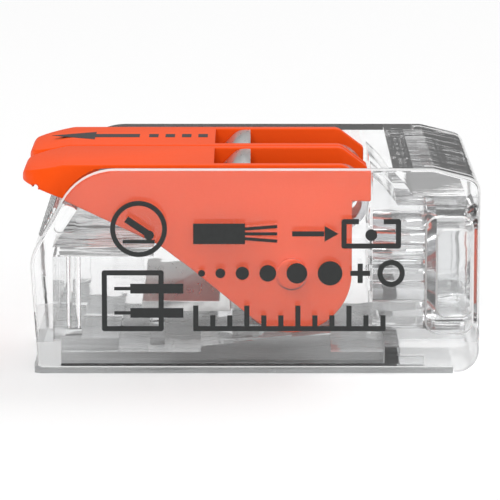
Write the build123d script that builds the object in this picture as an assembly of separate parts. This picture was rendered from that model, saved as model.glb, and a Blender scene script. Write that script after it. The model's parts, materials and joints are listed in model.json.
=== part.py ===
from build123d import *
import os
from math import acos, asin, atan2, cos, degrees, hypot, radians, sin, tan

# Two-pole lever splicing connector. Millimetres, +Z up, origin at the bottom centre.
# The wires enter at the +X end, the lever tips are at the -X end, the poles lie side by side in Y.

# Housing
HOUSING_LENGTH = 18.6
HOUSING_HEIGHT = 8.4
OUTER_WALL = 0.95
REAR_PARTITION = 0.5
EDGE_RADIUS = 0.15
WALL_TOP_BEVEL_WIDTH = 0.75
WALL_TOP_BEVEL_DROP = 0.15
TIP_OVERHANG = 0.38
REAR_WALL = 0.9
REAR_BULGE_TO_TOP = 3.65
REAR_BULGE_RADIUS = 1.5
REAR_FOOT_INSET = 0.3
REAR_SLOPE_ANGLE = 61
REAR_SHOULDER_RADIUS = 2.5
BASE_CORNER_RADIUS = 0.35
FRONT_SLOPE_LENGTH = 1.9
FRONT_SLOPE_DROP = 0.47
FRONT_TOP_RADIUS = 0.6
FRONT_FOOT_RADIUS = 1.0
FRONT_PLATE = 0.55
FRONT_HOLLOW_BOTTOM = 0.95
FRONT_ROOF = 1.2
GRIP_RIDGE_COUNT = 5
GRIP_RIDGE_RADIUS = 0.12
GRIP_RIDGE_PITCH = 0.27
GRIP_RIDGES_TO_TOP = 1.7
GRIP_RIDGE_END_GAP = 1.4
SIDE_RECESS_DEPTH = 0.35
SIDE_RECESS_LENGTH = 1.0
SIDE_RECESS_HEIGHT = 1.2
SIDE_RECESS_RADIUS = 0.2
EJECTOR_MARK_RADIUS = 0.32
EJECTOR_MARK_DEPTH = 0.02
EJECTOR_MARK_TO_FRONT = 1.7
EJECTOR_MARK_TO_TOP = 0.55
REAR_POST_RADIUS = 0.28
REAR_POST_TO_WALL = 0.85
DECK_GAP = 0.06
DECK_THICKNESS = 0.4
DECK_END_TO_PIVOT = 5.6

# Base closure
FLANGE_THICKNESS = 0.3
FLANGE_REAR_LIP = 0.16
FLOOR_THICKNESS = 0.75
FLOOR_END_TO_PIVOT = 3.8
RIB_THICKNESS = 0.6
LATCH_LENGTH = 1.1
LATCH_TO_FRONT = 2.78
LATCH_HEIGHT = 0.38
LATCH_DEPTH = 0.45
SADDLE_LENGTH = 1.6
RAMP_REAR_TO_PIVOT = 3.7
RAMP_FRONT_TO_PIVOT = 1.6
RAMP_TOP_TO_PIVOT = 2.45
RAMP_RISE = 0.55
REAR_STEP_LENGTH = 2.6
REAR_STEP_HEIGHT = 1.25
REAR_STEP_BACK_LENGTH = 1.1
REAR_STEP_BACK_HEIGHT = 1.75

# Levers
LEVER_WIDTH = 5.45
LEVER_GAP = 0.15
LEVER_OPEN_ANGLE = 85
PIVOT_TO_FRONT = 7.61
PIVOT_HEIGHT = 4.0
CHEEK_RADIUS = 2.45
CHEEK_THICKNESS = 0.6
TRUNNION_RADIUS = 0.6
TRUNNION_LENGTH = 0.3
NOSE_CORNER_RADIUS = 1.5
NOSE_LENGTH = 1.7
NOSE_DROP = 0.35
NOSE_THICKNESS = 0.45
NOSE_EDGE_RADIUS = 0.3
NOSE_UNDER_RADIUS = 0.1
NOSE_GROOVE_RADIUS = 0.1
HANDLE_REAR_THICKNESS = 0.91
HANDLE_BELLY_THICKNESS = 1.43
HANDLE_BELLY_INSET = 1.81
HANDLE_HEEL_THICKNESS = 3.24
HANDLE_HEEL_TO_PIVOT = 5.38
KNEE_TO_PIVOT = 4.15
KNEE_RISE = 0.24
EAR_REACH = 3.21
EAR_DEPTH = 1.43
EAR_BEVEL_LENGTH = 1.1
EAR_BEVEL_DROP = 0.83
EAR_RADIUS = 0.55
EAR_TAB_THICKNESS = 0.25
EAR_TAB_TO_TOP = 0.2
TABBED_LEVERS = ["near"]
POCKET_END_TO_PIVOT = 3.12
CAM_RECESS_DEPTH = 0.3

# Wire entries
WIRE_HEIGHT = 4.0
WIRE_BORE_RADIUS = 1.55
FUNNEL_LENGTH = 0.4
FUNNEL_RADIUS = 1.95
SLEEVE_DEPTH = 1.7
SLEEVE_HEIGHT = 4.1
SLEEVE_WIDTH = 4.1
SLEEVE_CORNER_RADIUS = 0.4
SLEEVE_WALL = 0.45
SLEEVE_MOUTH_CHAMFER = 0.25
GUIDE_END_TO_PIVOT = 3.31
GUIDE_BOTTOM = 1.6
GUIDE_TO_TOP = 1.7

SLEEVE_RECESS_RIGHT_WALL = 0.2
SLEEVE_RECESS_TAPER = 30
SLEEVE_RECESS_OUTER = {"left": 2.2, "bottom": 1.5, "to_top": 2.0, "radius": 0.55, "depth": 0.15}
SLEEVE_RECESS_INNER = {"left": 1.85, "bottom": 2.1, "to_top": 2.43, "radius": 0.5, "depth": 0.3}

# Busbar
BUSBAR_THICKNESS = 0.45
CONTACT_TO_PIVOT = 1.25
BUSBAR_REAR_TO_PIVOT = 6.1
TONGUE_WIDTH = 2.7
TONGUE_TO_PIVOT = 1.3
PORTAL_TO_PIVOT = 2.94
PORTAL_LEG_WIDTH = 0.5
PORTAL_TOP_GAP = 0.03
PORTAL_HOOK_REACH = 1.05
PORTAL_HOOK_RISE = 0.6

# Clamp springs
SPRING_THICKNESS = 0.3
SPRING_WIDTH = 2.6
SPRING_BEND_RADIUS = 1.0
SPRING_BEND_TO_PIVOT = 2.0
SPRING_END_TO_PIVOT = 2.0
CLAMP_EDGE_TO_PIVOT = 1.34
CLAMP_EDGE_GAP = 0.05
CLAMP_ANGLE_RATIO = 0.375
SPRING_JOINT_GAP = 0.06
TAB_ENGAGEMENT = 0.2
TAB_RADIUS = 0.22
TAB_SETBACK = 0.6

# Clearances
LEVER_SIDE_CLEARANCE = 0.075
BEARING_CLEARANCE = 0.05
STOP_CLEARANCE = 0.05
SWING_CLEARANCE = 0.6
HANDLE_GAP = 0.12
FIT_CLEARANCE = 0.05
SPRING_CLEARANCE = 0.05
CHANNEL_CLEARANCE = 0.08
CUT_MARGIN = 1.0

# Derived places
pole_pitch = LEVER_WIDTH + LEVER_GAP
chamber_width = pole_pitch + LEVER_WIDTH + 2 * LEVER_SIDE_CLEARANCE
housing_width = chamber_width + 2 * OUTER_WALL
front_x = HOUSING_LENGTH / 2
tip_x = -HOUSING_LENGTH / 2
rear_x = tip_x + TIP_OVERHANG
rear_bulge_z = HOUSING_HEIGHT - REAR_BULGE_TO_TOP
deck_top = HOUSING_HEIGHT - HANDLE_HEEL_THICKNESS - DECK_GAP
front_hollow_top = HOUSING_HEIGHT - FRONT_ROOF
guide_top = HOUSING_HEIGHT - GUIDE_TO_TOP
contact_z = PIVOT_HEIGHT - CONTACT_TO_PIVOT
pivot_x = front_x - PIVOT_TO_FRONT
top_above_pivot = HOUSING_HEIGHT - PIVOT_HEIGHT
channel_width = LEVER_WIDTH - 2 * CHEEK_THICKNESS
channel_radius = hypot(POCKET_END_TO_PIVOT, top_above_pivot)
swing_radius = hypot(EAR_REACH, top_above_pivot - EAR_TAB_TO_TOP) + SWING_CLEARANCE
stop_x = pivot_x + top_above_pivot * tan(radians(LEVER_OPEN_ANGLE / 2)) + STOP_CLEARANCE
saddle_radius = CHEEK_RADIUS + BEARING_CLEARANCE
portal_x = pivot_x - PORTAL_TO_PIVOT + BUSBAR_THICKNESS / 2
portal_width = channel_width - 2 * CHANNEL_CLEARANCE
portal_top = HOUSING_HEIGHT - PORTAL_TOP_GAP
portal_hook_z = portal_top - BUSBAR_THICKNESS / 2
spring_top_z = portal_top - BUSBAR_THICKNESS - SPRING_CLEARANCE - SPRING_THICKNESS / 2
bend_x = pivot_x + SPRING_BEND_TO_PIVOT
bend_z = spring_top_z - SPRING_BEND_RADIUS
clamp_x = pivot_x - CLAMP_EDGE_TO_PIVOT
clamp_z = contact_z + CLAMP_EDGE_GAP + SPRING_THICKNESS / 2
poles = {"near": -pole_pitch / 2, "far": pole_pitch / 2}


def side_solid(profile, width, y_mid=0.0):
    """A solid whose profile is drawn in X and Z, as wide as asked about y_mid."""
    return Pos(0, y_mid, 0) * extrude(Plane.XZ * profile, amount=width / 2, both=True)


def side_disc(radius, width, y_mid=0.0, x=pivot_x, z=PIVOT_HEIGHT):
    """A cylinder along Y about the point x, z."""
    return side_solid(Pos(x, z) * Circle(radius), width, y_mid)


def block(x_low, x_high, width, z_low, z_high, y_mid=0.0):
    """A box between two X and two Z values, as wide as asked about y_mid."""
    size = (x_high - x_low, width, z_high - z_low)
    return Pos((x_low + x_high) / 2, y_mid, (z_low + z_high) / 2) * Box(*size)


def turned(point, centre, angle):
    """A point in X and Z turned about a centre, clockwise as seen from the -Y side."""
    dx = point[0] - centre[0]
    dz = point[1] - centre[1]
    c = cos(radians(angle))
    s = sin(radians(angle))
    return (centre[0] + dx * c + dz * s, centre[1] - dx * s + dz * c)


def tangent_point(point, centre, radius, side):
    """Where the line from a point touches a circle; side is 1 or -1."""
    dx = point[0] - centre[0]
    dz = point[1] - centre[1]
    angle = atan2(dz, dx) + side * acos(radius / hypot(dx, dz))
    return (centre[0] + radius * cos(angle), centre[1] + radius * sin(angle))


def strip(points, bend_radius, thickness):
    """The side profile of a bent sheet strip along a path."""
    return trace(FilletPolyline(*points, radius=bend_radius), line_width=thickness)


def rear_slope_x(z):
    """Where the sloping rear face is at a height."""
    return rear_x + (z - rear_bulge_z) / tan(radians(REAR_SLOPE_ANGLE))


def housing_outline():
    """The side outline of the housing above the base flange."""
    shoulder_x = rear_slope_x(HOUSING_HEIGHT)
    slope_x = front_x - FRONT_SLOPE_LENGTH
    foot_x = front_x - FRONT_FOOT_RADIUS
    corners = [
        ((rear_x + REAR_FOOT_INSET, FLANGE_THICKNESS), 0),
        ((rear_x, rear_bulge_z), REAR_BULGE_RADIUS),
        ((shoulder_x, HOUSING_HEIGHT), REAR_SHOULDER_RADIUS),
        ((slope_x, HOUSING_HEIGHT), FRONT_TOP_RADIUS),
        ((front_x, HOUSING_HEIGHT - FRONT_SLOPE_DROP), FRONT_TOP_RADIUS),
        ((front_x, 0), FRONT_FOOT_RADIUS - FIT_CLEARANCE),
        ((foot_x, 0), 0),
        ((foot_x, FLANGE_THICKNESS), 0),
    ]
    points = [point for point, radius in corners]
    radii = [radius for point, radius in corners]
    return make_face(FilletPolyline(*points, radius=radii, close=True))


def handle_underside():
    """Corners of the lever's underside, from the nose to the knee."""
    return [
        (tip_x + TIP_OVERHANG, HOUSING_HEIGHT - HANDLE_REAR_THICKNESS),
        (tip_x + HANDLE_BELLY_INSET, HOUSING_HEIGHT - HANDLE_BELLY_THICKNESS),
        (pivot_x - HANDLE_HEEL_TO_PIVOT, HOUSING_HEIGHT - HANDLE_HEEL_THICKNESS),
    ]


def chamber():
    """Side profile of the space for the levers and the metal, cut from the housing."""
    above = HOUSING_HEIGHT + CUT_MARGIN
    inner_rear = rear_x + REAR_WALL
    deck_end = pivot_x - DECK_END_TO_PIVOT
    nose, belly = handle_underside()[:2]
    handle_space = Polygon(
        (tip_x - CUT_MARGIN, nose[1] - HANDLE_GAP),
        (nose[0], nose[1] - HANDLE_GAP),
        (belly[0], belly[1] - HANDLE_GAP),
        (deck_end, deck_top),
        (deck_end, FLANGE_THICKNESS - CUT_MARGIN),
        (pivot_x, FLANGE_THICKNESS - CUT_MARGIN),
        (pivot_x, above),
        (tip_x - CUT_MARGIN, above),
        align=None,
    )
    rear_pocket = Polygon(
        (inner_rear, deck_top),
        (rear_slope_x(belly[1] - HANDLE_GAP) + REAR_WALL, belly[1] - HANDLE_GAP),
        (pivot_x, belly[1] - HANDLE_GAP),
        (pivot_x, deck_top),
        align=None,
    )
    rear_hollow = Polygon(
        (inner_rear, FLANGE_THICKNESS - CUT_MARGIN),
        (inner_rear, deck_top - DECK_THICKNESS),
        (deck_end, deck_top - DECK_THICKNESS),
        (deck_end, FLANGE_THICKNESS - CUT_MARGIN),
        align=None,
    )
    stop_foot = turned((pivot_x, HOUSING_HEIGHT), (pivot_x, PIVOT_HEIGHT), LEVER_OPEN_ANGLE)
    stop_space = Polygon(
        (pivot_x, PIVOT_HEIGHT),
        (stop_foot[0] + STOP_CLEARANCE, PIVOT_HEIGHT),
        (stop_foot[0] + STOP_CLEARANCE, stop_foot[1]),
        (stop_x, HOUSING_HEIGHT),
        (stop_x, above),
        (pivot_x, above),
        align=None,
    )
    hollow_right = front_x - FRONT_PLATE
    hollow = Polygon(
        (pivot_x, FRONT_HOLLOW_BOTTOM),
        (hollow_right, FRONT_HOLLOW_BOTTOM),
        (hollow_right, front_hollow_top),
        (pivot_x, front_hollow_top),
        align=None,
    )
    swing = Pos(pivot_x, PIVOT_HEIGHT) * Circle(swing_radius)
    below = Polygon(
        (pivot_x, PIVOT_HEIGHT),
        (pivot_x, FLANGE_THICKNESS - CUT_MARGIN),
        (pivot_x + FLOOR_END_TO_PIVOT, FLANGE_THICKNESS - CUT_MARGIN),
        (pivot_x + FLOOR_END_TO_PIVOT, PIVOT_HEIGHT),
        align=None,
    )
    upper_right = Pos(pivot_x + swing_radius, PIVOT_HEIGHT + swing_radius) * Rectangle(
        2 * swing_radius, 2 * swing_radius
    )
    return handle_space + rear_pocket + rear_hollow + stop_space + (swing & upper_right) + below + hollow


def guide_block(y_mid):
    """The block between the cheeks that leads the conductor to the clamp."""
    left = pivot_x + GUIDE_END_TO_PIVOT
    right = front_x - SLEEVE_DEPTH - FUNNEL_LENGTH
    arc = channel_radius - SWING_CLEARANCE / 2
    slope_start = max(stop_x, left + FUNNEL_LENGTH)
    body = Polygon(
        (left, GUIDE_BOTTOM),
        (right, GUIDE_BOTTOM),
        (right, guide_top),
        (slope_start, front_hollow_top),
        (left, HOUSING_HEIGHT),
        align=None,
    )
    reach = Pos(pivot_x, PIVOT_HEIGHT) * Circle(arc)
    low = Pos(right, 0) * Rectangle(2 * (right - left), 2 * guide_top)
    profile = body & (reach + low)
    return side_solid(profile, channel_width - 2 * FIT_CLEARANCE, y_mid)


def sleeve_block(y_mid):
    """The tube around the wire's insulation, from the guide block to the front plate."""
    outer = RectangleRounded(
        SLEEVE_WIDTH + 2 * SLEEVE_WALL,
        SLEEVE_HEIGHT + 2 * SLEEVE_WALL,
        SLEEVE_CORNER_RADIUS + SLEEVE_WALL / 2,
    )
    left = front_x - SLEEVE_DEPTH - FUNNEL_LENGTH
    right = front_x - FRONT_PLATE / 2
    return Pos(left, y_mid, WIRE_HEIGHT) * extrude(Plane.YZ * outer, amount=right - left)


def wire_entry(y_mid):
    """Bore, funnel and insulation sleeve of one wire entry, to be cut."""
    sleeve_x = front_x - SLEEVE_DEPTH
    centre = Pos(0, y_mid, WIRE_HEIGHT)
    bore_length = sleeve_x - pivot_x
    bore = centre * Pos(pivot_x + bore_length / 2, 0, 0) * Rot(0, 90, 0) * Cylinder(WIRE_BORE_RADIUS, bore_length)
    funnel = centre * Pos(sleeve_x - FUNNEL_LENGTH / 2, 0, 0) * Rot(0, 90, 0) * Cone(
        WIRE_BORE_RADIUS, FUNNEL_RADIUS, FUNNEL_LENGTH
    )
    mouth = RectangleRounded(SLEEVE_WIDTH, SLEEVE_HEIGHT, SLEEVE_CORNER_RADIUS)
    sleeve = centre * Pos(sleeve_x, 0, 0) * extrude(Plane.YZ * mouth, amount=SLEEVE_DEPTH + CUT_MARGIN)
    flare = centre * Pos(front_x, 0, 0) * extrude(
        Plane.YZ * offset(mouth, SLEEVE_MOUTH_CHAMFER), amount=-SLEEVE_MOUTH_CHAMFER, taper=45
    )
    return bore + funnel + sleeve + flare


def side_recess(y_side):
    """The shallow rounded triangle in the outer face of a side wall, under the lever."""
    left = rear_x + REAR_WALL
    top = HOUSING_HEIGHT - HANDLE_BELLY_THICKNESS
    corners = [(left, top - SIDE_RECESS_HEIGHT)]
    corners.append((left + SIDE_RECESS_LENGTH, top - SIDE_RECESS_HEIGHT))
    corners.append((left + SIDE_RECESS_LENGTH, top - SIDE_RECESS_RADIUS))
    corners.append((left + SIDE_RECESS_LENGTH / 2, top))
    outline = make_face(FilletPolyline(*corners, radius=SIDE_RECESS_RADIUS, close=True))
    return side_solid(outline, 2 * SIDE_RECESS_DEPTH, y_side * housing_width / 2)


def sleeve_recess(y_side, size):
    """A rounded recess with sloping sides in the inner face of a side wall, beside the sleeve."""
    length = size["left"] - SLEEVE_RECESS_RIGHT_WALL
    top = HOUSING_HEIGHT - size["to_top"]
    height = top - size["bottom"]
    middle_x = front_x - SLEEVE_RECESS_RIGHT_WALL - length / 2
    middle_z = (top + size["bottom"]) / 2
    outline = RectangleRounded(length, height, size["radius"])
    face = Pos(middle_x, y_side * chamber_width / 2, middle_z) * Rot(-90 * y_side, 0, 0) * outline
    return extrude(face, amount=size["depth"], taper=SLEEVE_RECESS_TAPER)


def ejector_mark(y_side):
    """The shallow round mark that an ejector pin leaves in a side wall."""
    x = front_x - EJECTOR_MARK_TO_FRONT
    z = HOUSING_HEIGHT - EJECTOR_MARK_TO_TOP
    return side_disc(EJECTOR_MARK_RADIUS, 2 * EJECTOR_MARK_DEPTH, y_side * housing_width / 2, x, z)


def wall_top_bevel(y_side):
    """The shallow bevel on the top of a side wall, falling towards the levers."""
    inner = y_side * chamber_width / 2
    outer = inner + y_side * WALL_TOP_BEVEL_WIDTH
    low = HOUSING_HEIGHT - WALL_TOP_BEVEL_DROP
    section = Polygon((inner, low), (outer, HOUSING_HEIGHT), (inner, HOUSING_HEIGHT + CUT_MARGIN), align=None)
    return Pos((tip_x + stop_x) / 2, 0, 0) * extrude(Plane.YZ * section, amount=(stop_x - tip_x) / 2, both=True)


def grip_ridges():
    """Half-round ridges across the sloping rear face, under the lever tips."""
    top = HOUSING_HEIGHT - GRIP_RIDGES_TO_TOP
    ridge_width = housing_width - 2 * GRIP_RIDGE_END_GAP
    ridges = []
    for step in range(GRIP_RIDGE_COUNT):
        z = top - (step + 1) * GRIP_RIDGE_PITCH * sin(radians(REAR_SLOPE_ANGLE))
        ridges.append(side_disc(GRIP_RIDGE_RADIUS, ridge_width, 0, rear_slope_x(z), z))
    return ridges


def rear_post(y_side):
    """A round post that stiffens the rear hollow beside a side wall."""
    x = rear_x + REAR_WALL + REAR_POST_TO_WALL
    y = y_side * (chamber_width / 2)
    low = REAR_STEP_BACK_HEIGHT
    high = deck_top - DECK_THICKNESS / 2
    return Pos(x, y, (low + high) / 2) * Cylinder(REAR_POST_RADIUS, high - low)


def latch_window(y_side):
    """The window in a side wall that the base's latch fills."""
    x_high = front_x - LATCH_TO_FRONT + LATCH_LENGTH / 2
    window = block(
        x_high - LATCH_LENGTH,
        x_high,
        2 * LATCH_DEPTH,
        FLANGE_THICKNESS - CUT_MARGIN,
        FLANGE_THICKNESS + LATCH_HEIGHT + FIT_CLEARANCE,
    )
    return Pos(0, y_side * housing_width / 2, 0) * window


def make_housing_shell():
    """Clear housing: side walls, partition, deck, bridge and wire entries."""
    shell = side_solid(housing_outline(), housing_width)
    side_edges = shell.faces().sort_by(Axis.Y)[0].edges() + shell.faces().sort_by(Axis.Y)[-1].edges()
    rounded = [edge for edge in side_edges if edge.center().Z > FLANGE_THICKNESS + EDGE_RADIUS]
    shell = fillet(rounded, EDGE_RADIUS)
    shell -= side_solid(chamber(), chamber_width)
    for ridge in grip_ridges():
        shell += ridge
    for y_mid in poles.values():
        shell += guide_block(y_mid) + sleeve_block(y_mid)
    for y_mid in poles.values():
        shell -= wire_entry(y_mid)
    bearing_radius = TRUNNION_RADIUS + BEARING_CLEARANCE
    bearing_span = pole_pitch + LEVER_WIDTH + 2 * (TRUNNION_LENGTH + BEARING_CLEARANCE)
    shell -= side_disc(bearing_radius, bearing_span)
    partition_left = rear_x + REAR_WALL
    partition_right = pivot_x - BUSBAR_REAR_TO_PIVOT - FIT_CLEARANCE
    deck_bottom = deck_top - DECK_THICKNESS
    shell += block(partition_left, partition_right, REAR_PARTITION, FLOOR_THICKNESS, deck_bottom)
    for y_side in (-1, 1):
        shell += rear_post(y_side)
        shell -= latch_window(y_side)
        shell -= wall_top_bevel(y_side)
        shell -= sleeve_recess(y_side, SLEEVE_RECESS_OUTER)
        shell -= sleeve_recess(y_side, SLEEVE_RECESS_INNER)
        shell -= side_recess(y_side)
        shell -= ejector_mark(y_side)
    return shell


def base_ramp():
    """Side profile of the ramp under the contact tongues and the lever cheeks."""
    left = pivot_x - RAMP_REAR_TO_PIVOT
    right = pivot_x + RAMP_FRONT_TO_PIVOT
    ramp_top = PIVOT_HEIGHT - RAMP_TOP_TO_PIVOT
    return Polygon(
        (left, FLANGE_THICKNESS),
        (left, ramp_top - RAMP_RISE),
        (right, ramp_top),
        (right, FLANGE_THICKNESS),
        align=None,
    )


def make_housing_base():
    """Clear closure under the housing, with floors, busbar ribs, lever saddles and latches."""
    flange_rear = rear_x + REAR_FOOT_INSET - FLANGE_REAR_LIP
    flange_front = front_x - FRONT_FOOT_RADIUS - FIT_CLEARANCE
    base = block(flange_rear, flange_front, housing_width, 0, FLANGE_THICKNESS)
    corner_edges = base.edges().filter_by(Axis.Z).sort_by(Axis.X)[:2]
    base = fillet(corner_edges, BASE_CORNER_RADIUS)
    floor_left = rear_x + REAR_WALL + FIT_CLEARANCE
    floor_right = pivot_x + FLOOR_END_TO_PIVOT - FIT_CLEARANCE
    floor_width = chamber_width - 2 * FIT_CLEARANCE
    busbar_bottom = contact_z - BUSBAR_THICKNESS
    rib_places = [
        pivot_x - BUSBAR_REAR_TO_PIVOT + RIB_THICKNESS,
        portal_x,
        pivot_x + TONGUE_TO_PIVOT - RIB_THICKNESS,
    ]
    base += block(floor_left, floor_right, floor_width, FLANGE_THICKNESS, FLOOR_THICKNESS)
    base += side_solid(base_ramp(), floor_width)
    step_left = floor_left + REAR_STEP_BACK_LENGTH
    step_right = floor_left + REAR_STEP_LENGTH
    for y_mid in poles.values():
        step_width = LEVER_WIDTH - REAR_PARTITION - 2 * FIT_CLEARANCE
        base += block(floor_left, step_right, step_width, FLOOR_THICKNESS, REAR_STEP_HEIGHT, y_mid)
        base += block(floor_left, step_left, step_width, REAR_STEP_HEIGHT, REAR_STEP_BACK_HEIGHT, y_mid)
        for rib_x in rib_places:
            rib_left = rib_x - RIB_THICKNESS / 2
            rib_right = rib_x + RIB_THICKNESS / 2
            base += block(rib_left, rib_right, TONGUE_WIDTH, FLOOR_THICKNESS, busbar_bottom, y_mid)
        cheek_offset = (LEVER_WIDTH - CHEEK_THICKNESS) / 2
        for y_side in (-1, 1):
            saddle = block(
                pivot_x - SADDLE_LENGTH,
                pivot_x,
                CHEEK_THICKNESS,
                FLOOR_THICKNESS,
                PIVOT_HEIGHT - CHEEK_RADIUS * cos(asin(SADDLE_LENGTH / saddle_radius)),
                y_mid + y_side * cheek_offset,
            )
            base += saddle - side_disc(saddle_radius, CHEEK_THICKNESS + CUT_MARGIN, y_mid + y_side * cheek_offset)
    latch_right = front_x - LATCH_TO_FRONT + LATCH_LENGTH / 2 - FIT_CLEARANCE
    latch_left = latch_right - LATCH_LENGTH + 2 * FIT_CLEARANCE
    latch_top = FLANGE_THICKNESS + LATCH_HEIGHT
    latch_width = LATCH_DEPTH - 2 * FIT_CLEARANCE
    for y_side in (-1, 1):
        latch_y = y_side * (housing_width / 2 - FIT_CLEARANCE - latch_width / 2)
        base += block(latch_left, latch_right, latch_width, FLANGE_THICKNESS, latch_top, latch_y)
    return base


def spring_leg_points():
    """Start of the clamping leg where the bend ends, and its clamping edge."""
    edge = (clamp_x, clamp_z)
    start = tangent_point(edge, (bend_x, bend_z), SPRING_BEND_RADIUS, 1)
    return start, edge


def tab_place():
    """Centre of the tabs on the clamping leg."""
    start, edge = spring_leg_points()
    share = TAB_SETBACK / hypot(start[0] - edge[0], start[1] - edge[1])
    return (edge[0] + (start[0] - edge[0]) * share, edge[1] + (start[1] - edge[1]) * share)


def cam_path(steps=12):
    """The way that the spring tabs travel, seen from the turning lever."""
    pivot = (pivot_x, PIVOT_HEIGHT)
    path = []
    for step in range(steps + 1):
        angle = LEVER_OPEN_ANGLE * step / steps
        tab = turned(tab_place(), (bend_x, bend_z), angle * CLAMP_ANGLE_RATIO)
        path.append(turned(tab, pivot, -angle))
    return path


def cam_recess():
    """Profile of the recess in a lever cheek that the spring tab runs in."""
    path = cam_path()
    radius = TAB_RADIUS + 2 * SPRING_CLEARANCE
    recess = Pos(*path[0]) * Circle(radius)
    for first, second in zip(path, path[1:]):
        length = hypot(second[0] - first[0], second[1] - first[1])
        angle = degrees(atan2(second[1] - first[1], second[0] - first[0]))
        middle = Pos((first[0] + second[0]) / 2, (first[1] + second[1]) / 2)
        recess += middle * Rot(0, 0, angle) * Rectangle(length, 2 * radius)
        recess += Pos(*second) * Circle(radius)
    return recess


def lever_profile():
    """Side profile of a closed lever."""
    nose, belly, heel = handle_underside()
    knee = (pivot_x - KNEE_TO_PIVOT, PIVOT_HEIGHT + KNEE_RISE)
    ear_x = pivot_x + EAR_REACH
    corners = [
        ((tip_x + NOSE_LENGTH, HOUSING_HEIGHT), NOSE_CORNER_RADIUS),
        ((tip_x, HOUSING_HEIGHT - NOSE_DROP), NOSE_EDGE_RADIUS),
        ((tip_x, HOUSING_HEIGHT - NOSE_DROP - NOSE_THICKNESS), NOSE_UNDER_RADIUS),
        (nose, NOSE_UNDER_RADIUS),
        (belly, NOSE_EDGE_RADIUS),
        (heel, NOSE_EDGE_RADIUS),
        (knee, NOSE_EDGE_RADIUS),
        (tangent_point(knee, (pivot_x, PIVOT_HEIGHT), CHEEK_RADIUS, 1), 0),
        ((pivot_x, PIVOT_HEIGHT), 0),
        ((pivot_x + CHEEK_RADIUS, PIVOT_HEIGHT), 0),
        ((pivot_x + CHEEK_RADIUS, HOUSING_HEIGHT - EAR_DEPTH), 0),
        ((ear_x, HOUSING_HEIGHT - EAR_DEPTH), 0),
        ((ear_x, HOUSING_HEIGHT - EAR_BEVEL_DROP), 0),
        ((ear_x - EAR_BEVEL_LENGTH, HOUSING_HEIGHT), EAR_RADIUS),
    ]
    points = [point for point, radius in corners]
    radii = [radius for point, radius in corners]
    side = make_face(FilletPolyline(*points, radius=radii, close=True))
    return side + Pos(pivot_x, PIVOT_HEIGHT) * Circle(CHEEK_RADIUS)


def make_lever(y_mid, with_tab):
    """Orange lever: handle, two cheeks, cam recesses, a trunnion and perhaps an ear tab on its outer cheek."""
    lever = side_solid(lever_profile(), LEVER_WIDTH, y_mid)
    plan_length = pivot_x + EAR_REACH - tip_x + NOSE_CORNER_RADIUS * 2
    plan = RectangleRounded(plan_length, LEVER_WIDTH, NOSE_CORNER_RADIUS)
    plan_solid = extrude(Pos(tip_x + plan_length / 2, y_mid) * plan, amount=2 * HOUSING_HEIGHT)
    lever &= plan_solid
    lever -= side_disc(channel_radius, channel_width, y_mid)
    nose = handle_underside()[0]
    groove_x = nose[0] + 2 * NOSE_GROOVE_RADIUS
    lever -= side_disc(NOSE_GROOVE_RADIUS, LEVER_WIDTH + CUT_MARGIN, y_mid, groove_x, nose[1] - NOSE_GROOVE_RADIUS / 2)
    recess_width = channel_width + 2 * CAM_RECESS_DEPTH
    lever -= side_solid(cam_recess(), recess_width, y_mid)
    outward = 1 if y_mid > 0 else -1
    if with_tab:
        ear_x = pivot_x + EAR_REACH
        ear_bottom = HOUSING_HEIGHT - EAR_DEPTH
        ear_top = HOUSING_HEIGHT - EAR_TAB_TO_TOP
        tab_y = y_mid + outward * (LEVER_WIDTH - EAR_TAB_THICKNESS) / 2
        lever += block(ear_x - EAR_BEVEL_LENGTH, ear_x, EAR_TAB_THICKNESS, ear_bottom, ear_top, tab_y)
    trunnion_middle = y_mid + outward * (LEVER_WIDTH + TRUNNION_LENGTH) / 2
    return lever + side_disc(TRUNNION_RADIUS, TRUNNION_LENGTH, trunnion_middle)


def make_busbar():
    """One copper stamping: cross plate, a contact tongue and a portal for each pole."""
    bottom = contact_z - BUSBAR_THICKNESS
    rear = pivot_x - BUSBAR_REAR_TO_PIVOT
    plate_width = pole_pitch + portal_width
    busbar = block(rear, portal_x + BUSBAR_THICKNESS / 2, plate_width, bottom, contact_z)
    portal_path = [
        (portal_x, contact_z),
        (portal_x, portal_hook_z - PORTAL_HOOK_RISE),
        (portal_x + PORTAL_HOOK_RISE, portal_hook_z),
        (portal_x + PORTAL_HOOK_REACH, portal_hook_z),
    ]
    portal_profile = strip(portal_path, BUSBAR_THICKNESS, BUSBAR_THICKNESS)
    window_width = portal_width - 2 * PORTAL_LEG_WIDTH
    window_top = spring_top_z + SPRING_THICKNESS / 2 + SPRING_CLEARANCE
    for y_mid in poles.values():
        tongue_right = pivot_x + TONGUE_TO_PIVOT
        busbar += block(portal_x, tongue_right, TONGUE_WIDTH, bottom, contact_z, y_mid)
        portal = side_solid(portal_profile, portal_width, y_mid)
        window_right = portal_x + PORTAL_HOOK_RISE
        portal -= block(portal_x - CUT_MARGIN, window_right, window_width, contact_z, window_top, y_mid)
        busbar += portal
    return busbar


def make_spring_holder(y_mid):
    """Holding leg and bend of a clamp spring."""
    start = spring_leg_points()[0]
    bend_angle = degrees(atan2(start[1] - bend_z, start[0] - bend_x))
    gap_angle = degrees(SPRING_JOINT_GAP / SPRING_BEND_RADIUS)
    leg = Line((pivot_x - SPRING_END_TO_PIVOT, spring_top_z), (bend_x, spring_top_z))
    bend = CenterArc((bend_x, bend_z), SPRING_BEND_RADIUS, 90, bend_angle + gap_angle - 90)
    profile = trace([leg, bend], line_width=SPRING_THICKNESS)
    return side_solid(profile, SPRING_WIDTH, y_mid)


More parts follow.
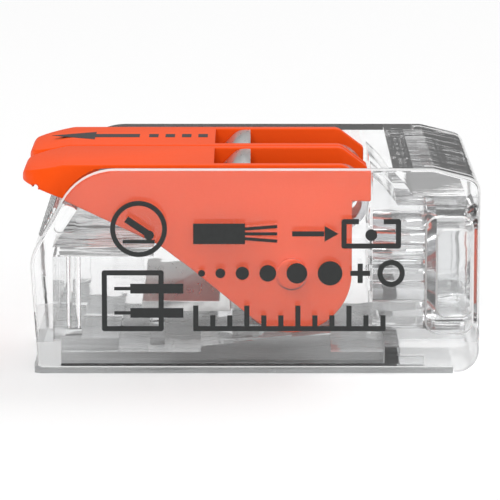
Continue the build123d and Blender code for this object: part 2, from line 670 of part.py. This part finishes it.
def make_spring_leg(y_mid):
    """Clamping leg of a clamp spring with its two tabs."""
    start, edge = spring_leg_points()
    profile = trace(Line(start, edge), line_width=SPRING_THICKNESS)
    leg = side_solid(profile, SPRING_WIDTH, y_mid)
    tab_x, tab_z = tab_place()
    tab_width = channel_width + 2 * TAB_ENGAGEMENT
    return leg + side_disc(TAB_RADIUS, tab_width, y_mid, tab_x, tab_z)


os.makedirs("parts", exist_ok=True)
export_step(make_housing_shell(), "parts/housing_shell.step")
export_step(make_housing_base(), "parts/housing_base.step")
export_step(make_busbar(), "parts/busbar.step")
for side_name, side_y in poles.items():
    export_step(make_lever(side_y, side_name in TABBED_LEVERS), f"parts/lever_{side_name}.step")
    export_step(make_spring_holder(side_y), f"parts/spring_{side_name}_holder.step")
    export_step(make_spring_leg(side_y), f"parts/spring_{side_name}_leg.step")
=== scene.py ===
import json
from math import acos, atan2, cos, radians, sin

import bmesh
import bpy
from bpy.props import FloatProperty, FloatVectorProperty, PointerProperty
from mathutils import Matrix, Vector


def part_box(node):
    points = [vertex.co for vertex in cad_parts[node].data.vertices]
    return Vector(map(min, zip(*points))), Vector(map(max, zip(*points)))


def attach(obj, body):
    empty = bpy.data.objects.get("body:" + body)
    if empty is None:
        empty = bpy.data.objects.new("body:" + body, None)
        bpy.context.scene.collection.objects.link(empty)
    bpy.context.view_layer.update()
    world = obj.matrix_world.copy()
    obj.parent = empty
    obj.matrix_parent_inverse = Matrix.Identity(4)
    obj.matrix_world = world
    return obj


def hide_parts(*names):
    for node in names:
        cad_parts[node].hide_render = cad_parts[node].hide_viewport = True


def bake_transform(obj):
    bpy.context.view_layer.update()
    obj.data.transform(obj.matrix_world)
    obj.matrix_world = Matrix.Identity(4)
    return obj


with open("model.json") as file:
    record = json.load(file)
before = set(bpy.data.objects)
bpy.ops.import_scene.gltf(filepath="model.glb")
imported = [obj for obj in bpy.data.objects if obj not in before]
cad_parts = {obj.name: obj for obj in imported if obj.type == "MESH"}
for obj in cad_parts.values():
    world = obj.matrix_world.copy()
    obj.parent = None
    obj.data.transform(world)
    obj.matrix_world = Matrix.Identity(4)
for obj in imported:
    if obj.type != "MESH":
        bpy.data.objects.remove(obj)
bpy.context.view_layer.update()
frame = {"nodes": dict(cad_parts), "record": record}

bl_info = {
    "name": "Lever Wire Connector",
    "version": (1, 0, 0),
    "blender": (4, 5, 0),
    "location": "3D View > Sidebar > Connector",
    "description": "Finishes, spring strips, side print and stage of a two-pole lever connector",
    "category": "Object",
}

MM = 0.001
SIDES = ("near", "far")
SKIN = 0.000005
EDGE_ROUNDING = 0.00015
EDGE_FACE = 0.00002
EDGE_LOW_SHARE = 0.3
SIDE_WALL = 0.00095
RECESS_STEP = 0.00015
RECESS_LENGTH = 0.00225
FOOT_HEIGHT = 0.0013
FOOT_REAR = 0.0012
FOOT_FRONT = 0.0032
# strength of the painted light at the foot's ends
FOOT_PAINTED_LIGHT = 0.5
FLANGE = 0.0003
PARTING_LINE = 0.00005
TAB_SETBACK = 0.0006
TAB_RADIUS = 0.00022
INK_STEP = 0.01
# Weight and grey of the pale diffuse mix: painted highlights and painted light on the shell, a pale line on
# the base
PALE_DIFFUSE_WEIGHT = 0.7
PALE_DIFFUSE_GREY = (0.93, 0.93, 0.93)
POLYCARBONATE_IOR = 1.585
CLAMP_SLOPE_GUESS = radians(35)
CLAMP_SLOPE_PASSES = 4
LAMPS = (
    ("key", (-0.15, -0.2, 0.4), 0.25, 0.85),
    ("front", (0.1, -0.45, 0.16), 0.3, 0.35),
    ("back", (0.15, 0.35, 0.35), 0.25, 0.5),
)


# Sizes and colours

def length(name, description, default):
    """A length property in metres."""
    return FloatProperty(name=name, description=description, default=default, unit="LENGTH", precision=6)


def colour(name, description, default):
    """A colour property."""
    return FloatVectorProperty(
        name=name, description=description, default=default, subtype="COLOR", size=3, min=0, max=1
    )


class ConnectorSizes(bpy.types.PropertyGroup):
    """Sizes that a user would change"""

    camera_distance: length("Camera distance", "From the camera to the middle of the connector", 0.1633)
    camera_height: length("Aim height", "Height above the floor that the camera looks at", 0.00394)
    camera_elevation: FloatProperty(
        name="Camera elevation", description="Angle of the camera above level",
        default=radians(9.94), subtype="ANGLE"
    )
    camera_lens: FloatProperty(
        name="Lens", description="Focal length in millimetres on a 36 mm sensor",
        default=279, min=20, max=600
    )
    edge_softness: length("Edge softness", "Radius of the soft edges of levers and metal", 0.00007)
    spring_thickness: length("Spring strip", "Thickness of the clamp spring strip", 0.0003)
    spring_bend: length("Spring bend", "Radius of the bend in the middle of the spring strip", 0.001)
    stroke: length("Print stroke", "Width of the lines of the print", 0.00021)
    ink_height: length("Ink height", "How far the ink stands above the wall", 0.00001)


class ConnectorColours(bpy.types.PropertyGroup):
    """Colours that a user would change"""

    clear: colour("Clear plastic", "Tint of the clear housing", (0.985, 0.988, 0.99))
    orange: colour("Lever orange", "Colour of the lever plastic", (1.0, 0.088, 0.004))
    tin: colour("Tin", "Plated copper of the busbar", (0.78, 0.78, 0.77))
    steel: colour("Spring steel", "Strip of the clamp springs", (0.66, 0.67, 0.69))
    ink: colour("Ink", "Printed marks on the side wall", (0.028, 0.03, 0.03))
    floor: colour("Floor", "Floor and backdrop", (0.98, 0.98, 0.98))


# Shader expressions

class Field:
    """A shader socket that Python operators add Math nodes to."""

    def __init__(self, tree, socket):
        self.tree = tree
        self.socket = socket

    def math(self, operation, *others):
        """Applies a Math node to this field and the others."""
        node = self.tree.nodes.new("ShaderNodeMath")
        node.operation = operation
        for place, value in enumerate((self,) + others):
            connect(self.tree, value, node.inputs[place])
        return Field(self.tree, node.outputs[0])

    def __add__(self, other):
        return self.math("ADD", other)

    __radd__ = __add__

    def __mul__(self, other):
        return self.math("MULTIPLY", other)

    __rmul__ = __mul__

    def __sub__(self, other):
        return self.math("SUBTRACT", other)

    def __rsub__(self, other):
        return (self * -1).math("ADD", other)

    def size(self):
        """The distance from zero."""
        return self.math("ABSOLUTE")

    def above(self, limit):
        """1 where the field is over the limit and 0 elsewhere."""
        return self.math("GREATER_THAN", limit)

    def below(self, limit):
        """1 where the field is under the limit and 0 elsewhere."""
        return self.math("LESS_THAN", limit)


def connect(tree, value, socket):
    """Links a field to a socket, or sets the socket to a plain value."""
    if isinstance(value, Field):
        tree.links.new(value.socket, socket)
    else:
        socket.default_value = value


class Finish:
    """A material under construction, with one Principled shader."""

    def __init__(self, name):
        self.material = bpy.data.materials.new(name)
        self.material.use_nodes = True
        self.tree = self.material.node_tree
        self.shader = self.tree.nodes["Principled BSDF"]
        self.surface = self.shader.outputs[0]

    def node(self, kind, output, settings=None, **inputs):
        """Adds a node of a kind, its settings first, and returns one of its outputs."""
        made = self.tree.nodes.new(kind)
        for key, value in (settings or {}).items():
            setattr(made, key, value)
        for key, value in inputs.items():
            connect(self.tree, value, made.inputs[key.replace("_", " ")])
        return Field(self.tree, made.outputs[output])

    def coordinates(self):
        """Place on the piece, in metres."""
        return self.node("ShaderNodeTexCoord", "Object")

    def places(self):
        """Place on the piece as three numbers, in metres."""
        parts = self.tree.nodes.new("ShaderNodeSeparateXYZ")
        connect(self.tree, self.coordinates(), parts.inputs[0])
        return [Field(self.tree, output) for output in parts.outputs]

    def noise(self, per_metre, detail=3, stretch=(1, 1, 1)):
        """Noise from 0 to 1 with a scale in cells a metre, stretched along the axes."""
        placed = self.node("ShaderNodeMapping", 0, Vector=self.coordinates(), Scale=stretch)
        return self.node("ShaderNodeTexNoise", 0, Vector=placed, Scale=per_metre, Detail=detail)

    def mix(self, factor, first, second):
        """Colour between two colours."""
        made = self.tree.nodes.new("ShaderNodeMix")
        made.data_type = "RGBA"
        connect(self.tree, factor, made.inputs[0])
        connect(self.tree, first, made.inputs[6])
        connect(self.tree, second, made.inputs[7])
        return Field(self.tree, made.outputs[2])

    def bump(self, height, distance):
        """Normal from a height field."""
        return self.node("ShaderNodeBump", 0, Height=height, Distance=distance, Strength=1.0)

    def mix_pale_diffuse(self, factor):
        """Mixes in a pale grey diffuse shader by a factor: painted highlights and painted light on the
        shell, a pale line on the base.
        """
        pale_shader = self.tree.nodes.new("ShaderNodeBsdfDiffuse")
        pale_shader.inputs["Color"].default_value = shade(PALE_DIFFUSE_GREY)
        mixer = self.tree.nodes.new("ShaderNodeMixShader")
        connect(self.tree, factor, mixer.inputs[0])
        self.tree.links.new(self.surface, mixer.inputs[1])
        self.tree.links.new(pale_shader.outputs[0], mixer.inputs[2])
        self.surface = mixer.outputs[0]
        self.tree.links.new(self.surface, self.tree.nodes["Material Output"].inputs["Surface"])

    def let_lamps_through(self, tint):
        """Lets lamps light what is behind the clear plastic."""
        clear = self.tree.nodes.new("ShaderNodeBsdfTransparent")
        clear.inputs["Color"].default_value = tint
        mixer = self.tree.nodes.new("ShaderNodeMixShader")
        ray = self.tree.nodes.new("ShaderNodeLightPath")
        self.tree.links.new(ray.outputs["Is Shadow Ray"], mixer.inputs[0])
        self.tree.links.new(self.surface, mixer.inputs[1])
        self.tree.links.new(clear.outputs[0], mixer.inputs[2])
        self.surface = mixer.outputs[0]
        self.tree.links.new(self.surface, self.tree.nodes["Material Output"].inputs["Surface"])

    def set(self, **inputs):
        """Sets or links inputs of the shader."""
        for key, value in inputs.items():
            connect(self.tree, value, self.shader.inputs[key.replace("_", " ")])
        return self


def shade(rgb, factor=1.0):
    """A colour with full alpha, made lighter or darker."""
    return tuple(min(1.0, channel * factor) for channel in rgb) + (1.0,)


def band(place, low, high):
    """1 between two limits and 0 outside."""
    return place.above(low) * place.below(high)


def shell_painted_light(finish):
    """Factor for painted highlights along the rounded outer edges and the sloping sides of the inner
    recesses, and for painted light at the foot's ends.
    """
    low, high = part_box("housing_shell")
    x, y, z = finish.places()
    across = y.size()
    # painted highlight: pale band along the rounded outer edge
    rounding = band(across, high[1] - EDGE_ROUNDING, high[1] - EDGE_FACE)
    rounding = rounding * z.above(high[2] * EDGE_LOW_SHARE)
    inner = high[1] - SIDE_WALL
    slopes = band(across, inner + EDGE_FACE, inner + RECESS_STEP - SKIN)
    slopes = slopes + band(across, inner + RECESS_STEP + SKIN, inner + 2 * RECESS_STEP - SKIN)
    # painted light: pale diffuse at the foot's ends brightens the dark bottom corners
    feet = z.below(FOOT_HEIGHT) * (x.below(low[0] + FOOT_REAR) + x.above(high[0] - FOOT_FRONT))
    # painted highlights: pale bands on the sloping sides of the inner recesses near the front
    recess_highlight = slopes * x.above(high[0] - RECESS_LENGTH)
    return rounding.math("MAXIMUM", recess_highlight).math("MAXIMUM", feet * FOOT_PAINTED_LIGHT)


def base_frost(finish):
    """Factor that is 1 along the parting line on the outside of the base."""
    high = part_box("housing_base")[1]
    x, y, z = finish.places()
    line = z.above(FLANGE - PARTING_LINE) * z.below(FLANGE + SKIN)
    return line * y.size().above(high[1] - SKIN)


def clear_plastic(name, tint, pale_mask):
    """Polished polycarbonate with faint flow marks from moulding, and a pale diffuse mix by a mask: painted
    highlights and painted light on the shell, a pale line along the base's parting line.
    """
    finish = Finish(name)
    flow = finish.noise(900, detail=2, stretch=(0.4, 1, 1))
    finish.set(
        Base_Color=shade(tint),
        Roughness=flow * 0.03 + 0.015,
        Normal=finish.bump(flow, 0.00002),
    )
    finish.set(IOR=POLYCARBONATE_IOR, Specular_IOR_Level=0.28, Transmission_Weight=0.995)
    # pale diffuse mix by mask: on the shell this is painted highlight and painted light
    finish.mix_pale_diffuse(pale_mask(finish) * PALE_DIFFUSE_WEIGHT)
    finish.let_lamps_through(shade(tint, 0.99))
    return finish.material


def orange_plastic(name, tint):
    """Orange polyamide with a fine satin texture."""
    finish = Finish(name)
    grain = finish.noise(9000, detail=4)
    cloud = finish.noise(400, detail=2)
    finish.set(
        Base_Color=finish.mix(cloud, shade(tint, 0.95), shade(tint, 1.05)),
        Roughness=grain * 0.12 + 0.36,
        Normal=finish.bump(grain, 0.000006),
    )
    finish.set(Specular_IOR_Level=0.1)
    return finish.material


def rolled_metal(name, tint, roughness, along=(1, 0.1, 0.1)):
    """Rolled strip with fine lines along its length."""
    finish = Finish(name)
    lines = finish.noise(6000, detail=3, stretch=along)
    finish.set(
        Base_Color=finish.mix(lines, shade(tint, 0.9), shade(tint, 1.08)),
        Roughness=lines * 0.15 + roughness,
        Normal=finish.bump(lines, 0.000004),
    )
    finish.set(Metallic=1.0)
    return finish.material


def paint(node_names, material):
    """Gives CAD nodes a material."""
    for name in node_names:
        mesh = frame["nodes"][name].data
        mesh.materials.clear()
        mesh.materials.append(material)


# Pieces

def new_piece(name, builder, material, body):
    """An object from a bmesh that rides on a body."""
    bmesh.ops.recalc_face_normals(builder, faces=builder.faces)
    mesh = bpy.data.meshes.new(name)
    builder.to_mesh(mesh)
    builder.free()
    mesh.materials.append(material)
    piece = bpy.data.objects.new(name, mesh)
    bpy.context.scene.collection.objects.link(piece)
    if body:
        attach(piece, body)
    return piece


def soften(piece, radius):
    """Rounds the sharp edges of a piece."""
    for face in piece.data.polygons:
        face.use_smooth = True
    rounding = piece.modifiers.new("soft_edges", "BEVEL")
    rounding.width = radius
    rounding.segments = 3
    rounding.limit_method = "ANGLE"
    rounding.angle_limit = radians(28)
    rounding.use_clamp_overlap = False
    rounding.harden_normals = True


def soft_copy(name, node_name, material, body, radius):
    """A copy of a CAD node with soft edges, which stands for the node."""
    node = frame["nodes"][node_name]
    builder = bmesh.new()
    builder.from_mesh(node.data)
    bmesh.ops.transform(builder, matrix=node.matrix_world, verts=builder.verts)
    bmesh.ops.remove_doubles(builder, verts=builder.verts, dist=SKIN / 5)
    bmesh.ops.dissolve_limit(builder, angle_limit=radians(0.5), verts=builder.verts, edges=builder.edges)
    piece = new_piece(name, builder, material, body)
    soften(piece, radius)
    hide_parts(node_name)
    return piece


def joint_place(joint_name):
    """Where a joint's axis is, in the row frame."""
    joints = {joint["name"]: joint for joint in frame["record"]["behaviour"]["joints"]}
    return Vector(joints[joint_name]["pos_m"])


def clamp_path(side, sizes):
    """End of the holding leg, bend centre, bend end and clamping edge, in the pole's middle."""
    centre = joint_place(f"{side}_clamp_hinge")
    holder_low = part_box(f"spring_{side}_holder")[0]
    leg_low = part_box(f"spring_{side}_leg")[0]
    half = sizes.spring_thickness / 2
    slope = CLAMP_SLOPE_GUESS
    for each_pass in range(CLAMP_SLOPE_PASSES):
        edge = Vector((leg_low[0] + half * sin(slope), centre[1], leg_low[2] + half * cos(slope)))
        reach = edge - centre
        turn = atan2(reach[2], reach[0]) + acos(sizes.spring_bend / reach.length)
        bend_end = centre + Vector((cos(turn), 0, sin(turn))) * sizes.spring_bend
        run = bend_end - edge
        slope = atan2(run[2], run[0])
    start = Vector((holder_low[0], centre[1], centre[2] + sizes.spring_bend))
    return start, centre, bend_end, edge


def spring_strip(side, sizes, material):
    """One clamp spring as a continuous bent strip with its two tabs."""
    start, centre, bend_end, edge = clamp_path(side, sizes)
    holder_low, holder_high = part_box(f"spring_{side}_holder")
    width = holder_high[1] - holder_low[1]
    builder = bmesh.new()
    turn = Matrix.Rotation(radians(90), 4, "Y")
    size = Matrix.Diagonal((sizes.spring_thickness, width, 1, 1))
    made = bmesh.ops.create_grid(
        builder, x_segments=1, y_segments=1, size=0.5, matrix=Matrix.Translation(start) @ turn @ size
    )
    faces = list({face for vertex in made["verts"] for face in vertex.link_faces})
    sweep = -atan2(bend_end[2] - centre[2], bend_end[0] - centre[0]) + radians(90)
    for kind in ("hold", "bend", "clamp"):
        if kind == "bend":
            made = bmesh.ops.spin(
                builder, geom=faces, cent=centre, axis=(0, 1, 0), angle=sweep, steps=28, use_duplicate=False
            )
            faces = [item for item in made["geom_last"] if isinstance(item, bmesh.types.BMFace)]
            continue
        made = bmesh.ops.extrude_face_region(builder, geom=faces)
        if kind == "clamp":
            bmesh.ops.delete(builder, geom=faces, context="FACES_ONLY")
        corners = [item for item in made["geom"] if isinstance(item, bmesh.types.BMVert)]
        move = Vector((centre[0] - start[0], 0, 0)) if kind == "hold" else edge - bend_end
        bmesh.ops.translate(builder, verts=corners, vec=move)
        faces = [item for item in made["geom"] if isinstance(item, bmesh.types.BMFace)]
    leg_low, leg_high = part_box(f"spring_{side}_leg")
    along = (bend_end - edge).normalized()
    tab = edge + along * TAB_SETBACK
    spin_axis = Matrix.Rotation(radians(90), 4, "X")
    bmesh.ops.create_cone(
        builder, cap_ends=True, segments=32, radius1=TAB_RADIUS, radius2=TAB_RADIUS,
        depth=leg_high[1] - leg_low[1], matrix=Matrix.Translation(tab) @ spin_axis,
    )
    piece = new_piece(f"clamp_spring_{side}", builder, material, None)
    soften(piece, sizes.edge_softness / 2)
    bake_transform(piece)
    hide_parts(f"spring_{side}_holder", f"spring_{side}_leg")
    return piece


class Print:
    """Marks of ink on a flat face, drawn in millimetres of that face's own right and up."""

    def __init__(self, placing, sizes):
        self.builder = bmesh.new()
        self.placing = placing @ Matrix.Scale(MM, 4)
        self.stroke = sizes.stroke / MM
        self.thickness = sizes.ink_height / MM
        self.step = self.thickness * INK_STEP

    def rise(self):
        """Thickness of the next mark, a little more than the last, so that no two are flush."""
        self.thickness += self.step
        return self.thickness

    def bar(self, x_low, up_low, x_high, up_high):
        """A filled rectangle."""
        middle = Matrix.Translation(((x_low + x_high) / 2, (up_low + up_high) / 2, 0))
        size = Matrix.Diagonal((x_high - x_low, up_high - up_low, self.rise(), 1))
        bmesh.ops.create_cube(self.builder, size=1, matrix=self.placing @ middle @ size)

    def line(self, start, end, width=None):
        """A straight line with square ends."""
        run = Vector(end) - Vector(start)
        middle = (Vector(start) + Vector(end)) / 2
        turn = Matrix.Rotation(atan2(run[1], run[0]), 4, "Z")
        size = Matrix.Diagonal((run.length, width or self.stroke, self.rise(), 1))
        place = self.placing @ Matrix.Translation((middle[0], middle[1], 0)) @ turn @ size
        bmesh.ops.create_cube(self.builder, size=1, matrix=place)

    def path(self, points, width=None):
        """Straight lines from point to point with round corners."""
        width = width or self.stroke
        for start, end in zip(points, points[1:]):
            self.line(start, end, width)
        for point in points[1:-1]:
            self.disc(point, width / 2)

    def disc(self, middle, radius, sides=40):
        """A filled circle, or a regular shape with that many sides."""
        place = self.placing @ Matrix.Translation((middle[0], middle[1], 0))
        bmesh.ops.create_cone(
            self.builder, cap_ends=True, segments=sides, radius1=radius, radius2=radius,
            depth=self.rise(), matrix=place,
        )

    def arc(self, middle, radius, start, sweep, width=None):
        """Part of a ring, or a whole one, with angles in degrees."""
        width = width or self.stroke
        spoke = Matrix.Translation((middle[0], middle[1], 0)) @ Matrix.Rotation(radians(start), 4, "Z")
        section = Matrix.Translation((radius, 0, 0)) @ Matrix.Rotation(radians(90), 4, "X")
        size = Matrix.Diagonal((width, self.rise(), 1, 1))
        made = bmesh.ops.create_grid(
            self.builder, x_segments=1, y_segments=1, size=0.5, matrix=self.placing @ spoke @ section @ size
        )
        faces = list({face for vertex in made["verts"] for face in vertex.link_faces})
        whole = abs(sweep) >= 360
        bmesh.ops.spin(
            self.builder, geom=faces, cent=self.placing @ Vector((middle[0], middle[1], 0)),
            axis=self.placing.to_3x3() @ Vector((0, 0, 1)), angle=radians(sweep),
            steps=max(8, round(abs(sweep) / 6)), use_duplicate=False, use_merge=whole,
        )

    def arrow_head(self, tip, heading, size):
        """A filled triangle that points along its heading, in degrees."""
        middle = Vector(tip) - Vector((cos(radians(heading)), sin(radians(heading)))) * size / 2
        place = Matrix.Translation((middle[0], middle[1], 0)) @ Matrix.Rotation(radians(heading), 4, "Z")
        bmesh.ops.create_cone(
            self.builder, cap_ends=True, segments=3, radius1=size * 0.62, radius2=size * 0.62,
            depth=self.rise(), matrix=self.placing @ place @ Matrix.Rotation(radians(30), 4, "Z"),
        )

    def finish(self, name, material, body, slot):
        """All the marks as one piece."""
        return new_piece(name, self.builder, material, body)


# Operators

class CONNECTOR_OT_housing(bpy.types.Operator):
    """Finish the clear shell and the base closure"""

    bl_idname = "connector.housing"
    bl_label = "Clear housing"

    def execute(self, context):
        tint = context.scene.connector_colours.clear
        paint(["housing_shell"], clear_plastic("clear_polycarbonate", tint, shell_painted_light))
        paint(["housing_base"], clear_plastic("clear_polycarbonate_base", tint, base_frost))
        return {"FINISHED"}


class CONNECTOR_OT_levers(bpy.types.Operator):
    """Finish the two levers"""

    bl_idname = "connector.levers"
    bl_label = "Levers"

    def execute(self, context):
        material = orange_plastic("orange_polyamide", context.scene.connector_colours.orange)
        softness = context.scene.connector_sizes.edge_softness
        for side in SIDES:
            body = f"{side}_lever"
            soft_copy(f"soft_lever_{side}", f"lever_{side}", material, body, softness)
        return {"FINISHED"}


class CONNECTOR_OT_metal(bpy.types.Operator):
    """Finish the busbar and the clamp springs"""

    bl_idname = "connector.metal"
    bl_label = "Metal parts"

    def execute(self, context):
        colours = context.scene.connector_colours
        sizes = context.scene.connector_sizes
        tin = rolled_metal("tin_plate", colours.tin, 0.22)
        soft_copy("soft_busbar", "busbar", tin, "housing", sizes.edge_softness / 2)
        steel = rolled_metal("spring_strip", colours.steel, 0.16)
        for side in SIDES:
            spring_strip(side, sizes, steel)
        return {"FINISHED"}


def wall_print(sizes, ink):
    """Pictograms on the near side wall: wire, wire sizes, length rule, lever swing and wire entry."""
    wall_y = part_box("housing_shell")[0][1]
    upright = Matrix.Rotation(radians(90), 4, "X")
    marks = Print(Matrix.Translation((0, wall_y - sizes.ink_height / 2, 0)) @ upright, sizes)
    wire_row(marks, -2.3, 5.75)
    size_row(marks, -2.3, 4.13)
    gauge_row(marks, -2.3, 2.35)
    swing_mark(marks, (-4.5, 5.95), 1.05)
    entry_mark(marks, (-4.75, 3.0), 1.15)
    return marks.finish("wall_print", ink, "housing", "clear_shell")


def wire_row(marks, x, up):
    """A stripped wire, three strands fanned from its end, and an arrow into a box."""
    marks.bar(x, up - 0.42, x + 2.1, up + 0.42)
    for step in (-1, 0, 1):
        marks.line((x + 2.1, up + 0.2 * step), (x + 3.4, up + 0.3 * step), 0.13)
    marks.line((x + 4.0, up), (x + 5.3, up))
    marks.arrow_head((x + 5.8, up), 0, 0.6)
    marks.path([(x + 6.7, up + 0.5), (x + 6.1, up + 0.5), (x + 6.1, up - 0.5), (x + 8.3, up - 0.5),
                (x + 8.3, up + 0.5), (x + 7.7, up + 0.5)])
    marks.disc((x + 7.2, up - 0.05), 0.24)


def size_row(marks, x, up):
    """Wire sections from fine to thick, a plus sign and a ring."""
    place = x + 0.2
    for radius in (0.14, 0.2, 0.27, 0.34, 0.42, 0.5):
        place += radius
        marks.disc((place, up), radius)
        place += radius + 0.42
    marks.line((place - 0.1, up), (place + 0.7, up))
    marks.line((place + 0.3, up - 0.4), (place + 0.3, up + 0.4))
    marks.arc((place + 1.55, up), 0.45, 0, 360)


def gauge_row(marks, x, up):
    """A rule with ticks for the length of bare wire."""
    rule = up - 0.5
    length = 7.8
    marks.line((x, rule), (x + length, rule))
    for tick in range(12):
        tall = 0.55 if tick % 3 else 0.95
        place = x + 0.1 + tick * length / 11.3
        marks.line((place, rule), (place, rule + tall))


def swing_mark(marks, middle, radius):
    """A ring around a half-open lever on its base."""
    marks.arc(middle, radius, 0, 360, 0.2)
    x, up = middle
    marks.line((x - 0.65, up - 0.52), (x + 0.65, up - 0.52), 0.15)
    marks.line((x + 0.5, up - 0.28), (x - 0.5, up + 0.4), 0.28)
    marks.disc((x + 0.42, up - 0.26), 0.2)


def entry_mark(marks, middle, half):
    """A square frame with two wire ends going in from the side."""
    x, up = middle
    left, right, bottom, top = x - half, x + half, up - half, up + half
    corners = [(left, bottom), (right, bottom), (right, top), (left, top)]
    marks.path(corners + corners[:2])
    for step in (-1, 1):
        wire = up + 0.5 * step
        marks.bar(x - 0.1, wire - 0.2, right + 0.9, wire + 0.2)
        marks.line((x - 0.75, wire), (x - 0.1, wire), 0.14)


def lever_print(sizes, ink):
    """A broad arrow on the far lever's handle, towards the end that is lifted."""
    low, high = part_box("lever_far")
    middle_y = joint_place("far_lever_hinge")[1]
    lift = high[2] + sizes.ink_height / 2
    flat = Matrix.Translation((low[0], middle_y, lift))
    marks = Print(flat, sizes)
    marks.arrow_head((1.1, 0), 180, 2.0)
    marks.bar(2.6, -0.45, 4.6, 0.45)
    for step in range(4):
        marks.bar(5.0 + 0.7 * step, -0.45, 5.4 + 0.7 * step, 0.45)
    return marks.finish("lever_print", ink, "far_lever", "lever_orange")


def ink_finish(tint):
    """Pad-printed ink with a faint mottle."""
    finish = Finish("ink")
    mottle = finish.noise(5000, detail=3)
    finish.set(
        Base_Color=finish.mix(mottle, shade(tint, 0.8), shade(tint, 1.3)),
        Roughness=mottle * 0.15 + 0.5,
        Normal=finish.bump(mottle, 0.000002),
    )
    finish.set(Specular_IOR_Level=0.3)
    return finish.material


class CONNECTOR_OT_print(bpy.types.Operator):
    """Print the pictograms on the side wall and on the far lever"""

    bl_idname = "connector.pictograms"
    bl_label = "Pictograms"

    def execute(self, context):
        sizes = context.scene.connector_sizes
        ink = ink_finish(context.scene.connector_colours.ink)
        wall_print(sizes, ink)
        lever_print(sizes, ink)
        return {"FINISHED"}


def area_light(name, place, aim, size, watts):
    """A soft square light that points at its aim."""
    data = bpy.data.lights.new(name, "AREA")
    data.size = size
    data.energy = watts
    light = bpy.data.objects.new(name, data)
    light.location = place
    light.rotation_euler = (Vector(aim) - Vector(place)).to_track_quat("-Z", "Y").to_euler()
    bpy.context.scene.collection.objects.link(light)


def sky_light(tree):
    """Grey at the horizon and white overhead, as in a tented studio."""
    place = tree.nodes.new("ShaderNodeTexCoord")
    parts = tree.nodes.new("ShaderNodeSeparateXYZ")
    ramp = tree.nodes.new("ShaderNodeValToRGB")
    ramp.color_ramp.elements[0].position = 0.05
    ramp.color_ramp.elements[0].color = (0.36, 0.36, 0.36, 1)
    ramp.color_ramp.elements[1].position = 0.6
    ramp.color_ramp.elements[1].color = (1, 1, 1, 1)
    background = tree.nodes["Background"]
    background.inputs["Strength"].default_value = 0.65
    tree.links.new(place.outputs["Generated"], parts.inputs[0])
    tree.links.new(parts.outputs[2], ramp.inputs[0])
    tree.links.new(ramp.outputs[0], background.inputs["Color"])


class CONNECTOR_OT_stage(bpy.types.Operator):
    """Make the floor, the light and the camera"""

    bl_idname = "connector.stage"
    bl_label = "Stage"

    def execute(self, context):
        sizes = context.scene.connector_sizes
        colours = context.scene.connector_colours
        mesh = bpy.data.meshes.new("floor")
        builder = bmesh.new()
        bmesh.ops.create_grid(builder, x_segments=1, y_segments=1, size=1.5)
        builder.to_mesh(mesh)
        builder.free()
        floor = bpy.data.objects.new("floor", mesh)
        finish = Finish("pale_floor")
        finish.set(Base_Color=shade(colours.floor), Roughness=0.9, Specular_IOR_Level=0.1)
        mesh.materials.append(finish.material)
        context.scene.collection.objects.link(floor)

        world = bpy.data.worlds.new("studio")
        world.use_nodes = True
        sky_light(world.node_tree)
        context.scene.world = world

        middle = Vector((0, 0, sizes.camera_height))
        for name, place, size, watts in LAMPS:
            area_light(name, place, middle, size, watts)

        angle = sizes.camera_elevation
        camera_data = bpy.data.cameras.new("camera")
        camera_data.lens = sizes.camera_lens
        camera_data.sensor_width = 36
        camera_data.clip_start = 0.005
        camera_data.clip_end = 10
        camera = bpy.data.objects.new("camera", camera_data)
        camera.location = middle + Vector((0, -cos(angle), sin(angle))) * sizes.camera_distance
        camera.rotation_euler = (middle - camera.location).to_track_quat("-Z", "Y").to_euler()
        context.scene.collection.objects.link(camera)
        context.scene.camera = camera
        context.scene.view_settings.view_transform = "Standard"
        return {"FINISHED"}


class CONNECTOR_PT_panel(bpy.types.Panel):
    """Sizes, colours and steps of the connector"""

    bl_label = "Lever Wire Connector"
    bl_idname = "CONNECTOR_PT_panel"
    bl_space_type = "VIEW_3D"
    bl_region_type = "UI"
    bl_category = "Connector"

    def draw(self, context):
        for group in (context.scene.connector_sizes, context.scene.connector_colours):
            for name in group.__annotations__:
                self.layout.prop(group, name)
        for step in STEPS:
            self.layout.operator(step.bl_idname)


STEPS = (
    CONNECTOR_OT_stage, CONNECTOR_OT_housing, CONNECTOR_OT_levers, CONNECTOR_OT_metal, CONNECTOR_OT_print
)
CLASSES = (ConnectorSizes, ConnectorColours, CONNECTOR_PT_panel) + STEPS


def register():
    for item in CLASSES:
        bpy.utils.register_class(item)
    bpy.types.Scene.connector_sizes = PointerProperty(type=ConnectorSizes)
    bpy.types.Scene.connector_colours = PointerProperty(type=ConnectorColours)


def unregister():
    del bpy.types.Scene.connector_colours
    del bpy.types.Scene.connector_sizes
    for item in reversed(CLASSES):
        bpy.utils.unregister_class(item)


def main():
    register()
    for step in STEPS:
        group, name = step.bl_idname.split(".")
        getattr(getattr(bpy.ops, group), name)()


if __name__ == "__main__":
    main()
